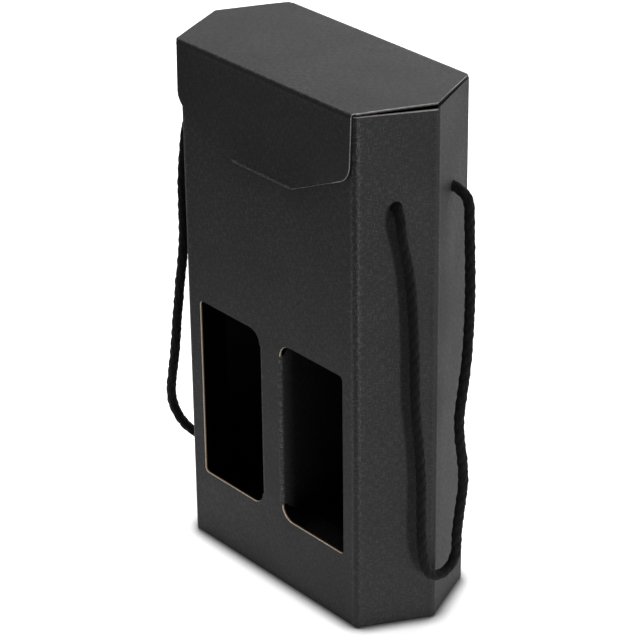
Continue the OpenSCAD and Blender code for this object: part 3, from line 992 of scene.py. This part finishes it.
def add_lid():
    def run(y):
        return LID_TOP_START + HALF_D - LID_FOLD_R - y

    y_back = HALF_D - LID_FOLD_R
    tip = rounded(
        [(lid_edge_x(y_back), run(y_back)), (LID_TIP, run(0)), (lid_edge_x(LID_FRONT_Y), run(LID_FRONT_Y))],
        (0, LID_TIP_R, 0),
    )
    back_half = HALF_W - LID_BACK_SHORT
    outline = mirrored([(back_half, 0.0), (back_half, run(y_back))] + tip)
    middle = LID_BACK_RUN + LID_FOLD_R * math.pi / 4
    rows = [0.6, *fold_lines(LID_BACK_RUN, LID_FOLD_R), LID_TOP_START + 1.2, LID_TOP_START + 2.4]
    rows += [run(y) for y in LID_ROWS_Y]
    lid = board_sheet(
        "lid_top", outline, [], on_lid, both_sides(0, 30, 60, 70, 78, 85, 92), rows,
        crease=lambda x, t: fold_rub_and_highlight(t, middle),
        joined=lambda x, t: t < TOUCH or t > run(LID_FRONT_Y) - TOUCH,
        # The lid's cut sides: black liner along its back half and the darkened edge at its front, painted
        # shade on both
        core=lambda x, t: LINED if t < run(0) else SHADE_CUT, rim_in=lambda x, t: LID_RIM,
    )
    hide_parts("lid_panel")
    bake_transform(lid)


# Front flap

FLAP_TOP_RUN = LID_FRONT_Y - FLAP_Y - FLAP_FOLD_R
FLAP_FACE_START = FLAP_TOP_RUN + FLAP_FOLD_R * math.pi / 2
FLAP_SHOULDER_Z = 338.0
TONGUE_LEAD = 0.8
TONGUE_START_Z = FOLD_Z + TONGUE_FOLD_R + TONGUE_LEAD
TONGUE_STRAIGHT = TONGUE_START_Z - FOLD_Z - TONGUE_FOLD_R

# Bow of the flap towards the tongue's fold, ridge along that fold, and flare of the flap's left side
BOW, BOW_UP, BOW_SIDE = 1.5, 14.0, 48.0
RIDGE, RIDGE_WIDTH, RIDGE_OVER = 0.45, 0.9, 0.5
FLARE, FLARE_X, FLARE_RUN, FLARE_DOWN = 2.2, 30.0, 48.0, 36.0

# Relief of the crease at the top of the flap, and how far down the flap follows the lid's points
FLAP_BEAD, FLAP_BEAD_DOWN, FLAP_BEAD_WIDTH = 0.2, 3.0, 0.9
FLAP_GROOVE, FLAP_GROOVE_DOWN, FLAP_GROOVE_WIDTH = 0.22, 1.5, 0.7
FOLLOW_DOWN = 6.0

# Rub and painted highlight on the flap's crease, painted highlight on the ridge, and the knock on the
# flap's right side
FLAP_FOLD_RUB_AND_HIGHLIGHT, FLAP_RUB_REACH = 0.3, 1.6
RIDGE_DOWN, RIDGE_HIGHLIGHT, RIDGE_HIGHLIGHT_REACH, RIDGE_END = 0.7, 0.85, 2.2, 1.5
KNOCK_Z, KNOCK_REACH = 332.0, 3.0

SCORE_ROWS = (0.4, 0.8, 1.2, 1.6, 2.0, 2.6, 3.4)
FLAP_ROWS_Z = (330, 320, 308)
BOW_ROWS = (0.3, 0.6, 0.9, 1.3, 1.8, 3.0, 6.0, 10.0, 15.0, 22.0)


def fold_stand(x, run_to_fold):
    """How far the flap stands off the front panel by the tongue's fold, with a ridge along the fold."""
    bow = BOW * max(0.0, 1 - (x / BOW_SIDE) ** 4) * bell(run_to_fold, BOW_UP)
    ridge = RIDGE * bell(run_to_fold, RIDGE_WIDTH) if abs(x) < FOLD_HALF + RIDGE_OVER else 0.0
    return bow + ridge


def ridge_painted_highlight(x, run):
    """Painted highlight on the ridge of the tongue's fold, brightest at its two ends."""
    if abs(x) > FOLD_HALF + TOUCH:
        return 0.0
    share = 1.0 if abs(x) > FOLD_HALF - RIDGE_END else RIDGE_HIGHLIGHT
    return share * fold_rub_and_highlight(run, RIDGE_DOWN, RIDGE_HIGHLIGHT_REACH)


def on_flap(x, t, depth):
    """Over the front crease of the lid and down over the front panel."""
    forward, down, angle = fold_path(FLAP_TOP_RUN, FLAP_FOLD_R, t)
    z = HEIGHT - down
    stand = fold_stand(x, z - TONGUE_START_Z)
    flare = FLARE * max(0.0, (-x - FLARE_X) / FLARE_RUN) ** 2 * min(1.0, down / FLARE_DOWN)
    bead = FLAP_BEAD * bell(down - FLAP_BEAD_DOWN, FLAP_BEAD_WIDTH)
    score = bead - FLAP_GROOVE * bell(down - FLAP_GROOVE_DOWN, FLAP_GROOVE_WIDTH)
    y = LID_FRONT_Y - forward + math.sin(angle) * depth - stand - flare - (score if depth == 0 else 0.0)
    rise = lid_lift(x) * max(0.0, 1 - down / FOLLOW_DOWN)
    return x, y, z - math.cos(angle) * depth + rise


def add_flap():
    def run(z):
        return FLAP_FACE_START + HEIGHT - FLAP_FOLD_R - z

    shoulder = (HALF_W, run(FLAP_SHOULDER_Z))
    lower_corner = (HALF_W - FLAP_SLANT, run(HEIGHT - FLAP_SIDE))
    face = rounded([shoulder, lower_corner, (FOLD_HALF, run(FOLD_Z))], (0, FLAP_CORNER, 0))
    right = [(lid_edge_x(LID_FRONT_Y), 0.0), (lid_edge_x(FLAP_Y + FLAP_FOLD_R), FLAP_TOP_RUN)] + face
    end = run(TONGUE_START_Z)
    outline = mirrored(right + [(FOLD_HALF, end)])
    middle = FLAP_TOP_RUN + FLAP_FOLD_R * math.pi / 4
    rows = fold_lines(FLAP_TOP_RUN, FLAP_FOLD_R)
    rows += [FLAP_FACE_START + down for down in SCORE_ROWS]
    rows += [run(z) for z in FLAP_ROWS_Z]
    rows += [run(TONGUE_START_Z + up) for up in BOW_ROWS]

    def flap_rim(x, t):
        """Worn on the right side, most near the top."""
        knock = (BROAD_RIM - WORN_RIM) * bell(t - run(KNOCK_Z), KNOCK_REACH)
        return WORN_RIM + knock if x > HALF_W - FLAP_CORNER else CLEAN_RIM

    flap = board_sheet(
        "tuck_flap", outline, [], on_flap, both_sides(0, 12, 24, 32, 40, 48, 60, 70), rows,
        crease=lambda x, t: FLAP_FOLD_RUB_AND_HIGHLIGHT * fold_rub_and_highlight(t, middle, FLAP_RUB_REACH) + ridge_painted_highlight(x, t - end),
        joined=lambda x, t: t < TOUCH or t > end - TOUCH and abs(x) <= FOLD_HALF,
        rim_in=flap_rim,
    )
    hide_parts("front_flap")
    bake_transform(flap)


# Tongue

# The tongue's sides are pressed shut up to here behind its fold
TONGUE_SHUT = 4.0


def on_tongue(x, t, depth):
    """Down the end of the flap, round its fold and in through the slot."""
    down, inward, angle = fold_path(TONGUE_STRAIGHT, TONGUE_FOLD_R, t)
    y = FLAP_Y + inward + math.cos(angle) * depth - fold_stand(x, 0.0)
    return x, y, TONGUE_START_Z - down + math.sin(angle) * depth


def add_tongue():
    flat_start = TONGUE_STRAIGHT + TONGUE_FOLD_R * math.pi / 2
    tip = flat_start + TONGUE_TIP_Y - FLAP_Y - TONGUE_FOLD_R
    corners = mirrored([(FOLD_HALF, 0.0), (FOLD_HALF, flat_start), (FOLD_HALF - TONGUE_TAPER, tip)])
    outline = rounded(corners, (0, 0, TONGUE_CORNER, TONGUE_CORNER, 0, 0))
    rows = [0.3, 0.55, *fold_lines(TONGUE_STRAIGHT, TONGUE_FOLD_R), flat_start + 2, flat_start + 10]
    tongue = board_sheet(
        "tongue_in_slot", outline, [], on_tongue, both_sides(0, 12, 24, 24.4, 25.2), rows,
        crease=ridge_painted_highlight, joined=lambda x, t: t < flat_start + TONGUE_SHUT,
    )
    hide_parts("tuck_tongue")
    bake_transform(tongue)


# Window flaps

# Clearance at the ends of the fold, how far before its root the cut widens, and rub and painted highlight
# on the fold
FOLD_GAP, NECK_BACK, WINDOW_FOLD_RUB_AND_HIGHLIGHT = 0.05, 0.6, 0.8
WINDOW_COLUMNS, WINDOW_ROWS, WINDOW_END_ROW = (1.5, 4, 20, 40), (80.0, 109.0, 138.0), 6


def add_window_flap(side, end):
    """Board cut from a window, folded in at the pillar."""
    def on_window_flap(t, z, depth):
        forward, inward, angle = fold_path(WINDOW_FOLD_LEAD, WINDOW_FOLD_R, t)
        x = WINDOW_FOLD_START + forward - math.sin(angle) * depth
        return end * x, -HALF_D + inward + math.cos(angle) * depth, z

    fold_middle = WINDOW_FOLD_LEAD + WINDOW_FOLD_R * math.pi / 4
    root = WINDOW_FOLD_LEAD + WINDOW_FOLD_R * math.pi / 2
    crease, neck = root - WINDOW_FOLD_R, root - NECK_BACK
    tip = root + WINDOW_W - WINDOW_CLEAR - WINDOW_FOLD_R
    bottom, top = WINDOW_LOW + WINDOW_CLEAR, WINDOW_HIGH - WINDOW_CLEAR
    corners = [(crease, bottom), (tip, bottom), (tip, top), (crease, top)]
    outer_r = WINDOW_OUTER_R - WINDOW_CLEAR
    cut = [p for p in rounded(corners, (WINDOW_FLAP_R, outer_r, outer_r, WINDOW_FLAP_R)) if p[0] > root]
    low, high = WINDOW_LOW + WINDOW_INNER_R, WINDOW_HIGH - WINDOW_INNER_R
    fold_low, fold_high = low + FOLD_GAP, high - FOLD_GAP
    outline = [(0.0, fold_high), (0.0, fold_low), (neck, fold_low), *cut, (neck, fold_high)]
    columns = fold_lines(WINDOW_FOLD_LEAD, WINDOW_FOLD_R) + [root + run for run in WINDOW_COLUMNS]
    rows = [low + WINDOW_END_ROW, *WINDOW_ROWS, high - WINDOW_END_ROW]
    piece = board_sheet(
        side + "_window_turn_in", outline, [], on_window_flap, columns, rows,
        crease=lambda t, z: WINDOW_FOLD_RUB_AND_HIGHLIGHT * fold_rub_and_highlight(t, fold_middle), joined=lambda t, z: True,
    )
    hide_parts(side + "_window_flap")
    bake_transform(piece)


add_walls()
add_lid()
add_flap()
add_tongue()
add_window_flap("right", 1)
add_window_flap("left", -1)


# Pieces of the frame that keep their shape

def paint_node(node, material):
    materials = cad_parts[node].data.materials
    materials.clear()
    materials.append(material)


for flap_side in ("front", "back", "right", "left"):
    paint_node(f"base_{flap_side}_flap", BASE)
paint_node("seam_flap", LINER)


# Floor and light, in metres

FLOOR_HALF, FLOOR_DROP = 8.0, 0.0002
FLOOR_GLOW, NEAR_FLOOR, FAR_FLOOR = 0.6, (0.8, 0.8, 0.8, 1), (0.36, 0.36, 0.36, 1)

# Headings in which the white sheet ends, how far off, and over what run it fades into the table
SHEET_SIDES, SHEET_FADE = (((-0.569, -0.822), 0.21), ((0.746, -0.666), 0.11)), 0.25
# Reach and darkest tone of the painted contact shadow round the carton
CONTACT_REACH, CONTACT_SHADOW_TONE = 0.01, 0.12

# Level heading of the room's bright half, how it fades and how dim the other half is
BRIGHT_HEADING, BRIGHT_FADE, DIM_HALF = (-0.45, 0.89), 0.35, 0.05

# Share of the room's brightness that falls on rough surfaces
ROOM_LIGHT = 0.6

# Name, place, aim, size and power of each lamp
SOFTBOXES = (
    ("softbox_right_back", (1.5, 1.0, 1.9), (0, 0, 0.15), (1.2, 1.2), 3),
    ("softbox_right", (0.8, -0.12, 0.1), (0.09, 0, 0.12), (0.12, 0.18), 2.2),
    ("softbox_overhead", (-0.35, -0.1, 2.4), (-0.1, -0.05, 0), (1.8, 1.8), 46),
    ("softbox_back", (-0.83, 1.64, 1.1), (0, 0, 0.34), (1.2, 0.8), 6),
)


def seen_directly(n):
    """1 for what the camera sees straight, in a gloss or through glass."""
    path = n.add("LightPath").outputs
    straight = n.math("MAXIMUM", path["Is Camera Ray"], path["Is Glossy Ray"])
    return n.math("MAXIMUM", straight, path["Is Transmission Ray"])


def add_floor():
    """A white sheet under and behind the carton, on a pale grey table; it keeps the carton's shadow, and a
    painted contact shadow darkens its colour and glow next to the carton.
    """
    material, n, shader = new_material("white_sheet_on_table")
    place = n.split(n.place("Object"))
    table = 0.0
    for heading, reach in SHEET_SIDES:
        table = n.math("MAXIMUM", table, n.spread(n.along(place, heading), reach, reach + SHEET_FADE))
    under_x = n.math("LESS_THAN", n.math("ABSOLUTE", place["X"]), HALF_W * MM)
    under_y = n.math("LESS_THAN", n.math("ABSOLUTE", place["Y"]), (HALF_D - BOARD) * MM)
    open_sheet = n.math("SUBTRACT", n.math("SUBTRACT", 1.0, table), n.times(under_x, under_y), clamp=True)
    # Painted contact shadow: ambient occlusion darkens the sheet's colour and glow next to the carton
    nearby = n.add("AmbientOcclusion")
    nearby.inputs["Distance"].default_value = CONTACT_REACH
    painted_contact_shadow = n.spread(nearby.outputs["AO"], 0.5, 0.97, CONTACT_SHADOW_TONE, 1.0)
    glow = n.times(n.times(seen_directly(n), open_sheet), painted_contact_shadow)
    n.fill(
        shader,
        Base_Color=n.mix(painted_contact_shadow, (0, 0, 0, 1), n.mix(table, NEAR_FLOOR, FAR_FLOOR)),
        Roughness=0.8,
        Specular_IOR_Level=0.1,
        Emission_Color=(1, 1, 1, 1),
        Emission_Strength=n.times(glow, FLOOR_GLOW),
    )
    mesh = bmesh.new()
    corners = [(-1, -1), (1, -1), (1, 1), (-1, 1)]
    mesh.faces.new([mesh.verts.new((x * FLOOR_HALF, y * FLOOR_HALF, -FLOOR_DROP)) for x, y in corners])
    finished("table_top", mesh, [material])


def add_world():
    """White room, bright behind the carton and dim on the side it is looked at from."""
    world = bpy.data.worlds.new("white_room")
    bpy.context.scene.world = world
    world.use_nodes = True
    n = Nodes(world.node_tree)
    heading = n.split(n.place("Generated"))
    behind = n.spread(n.along(heading, BRIGHT_HEADING), -BRIGHT_FADE, BRIGHT_FADE, DIM_HALF, 1.0)
    share = n.spread(seen_directly(n), 0.0, 1.0, ROOM_LIGHT, 1.0)
    n.fill(world.node_tree.nodes["Background"].inputs, Color=(1, 1, 1, 1), Strength=n.times(behind, share))


def add_softbox(name, place, aim, size, power):
    data = bpy.data.lights.new(name, "AREA")
    data.shape, data.size, data.size_y, data.energy = "RECTANGLE", size[0], size[1], power
    lamp = in_scene(name, data)
    toward = Vector(aim) - Vector(place)
    lamp.matrix_world = Matrix.Translation(place) @ toward.to_track_quat("-Z", "Y").to_matrix().to_4x4()
    lamp.visible_camera = False


add_floor()
add_world()
for softbox in SOFTBOXES:
    add_softbox(*softbox)
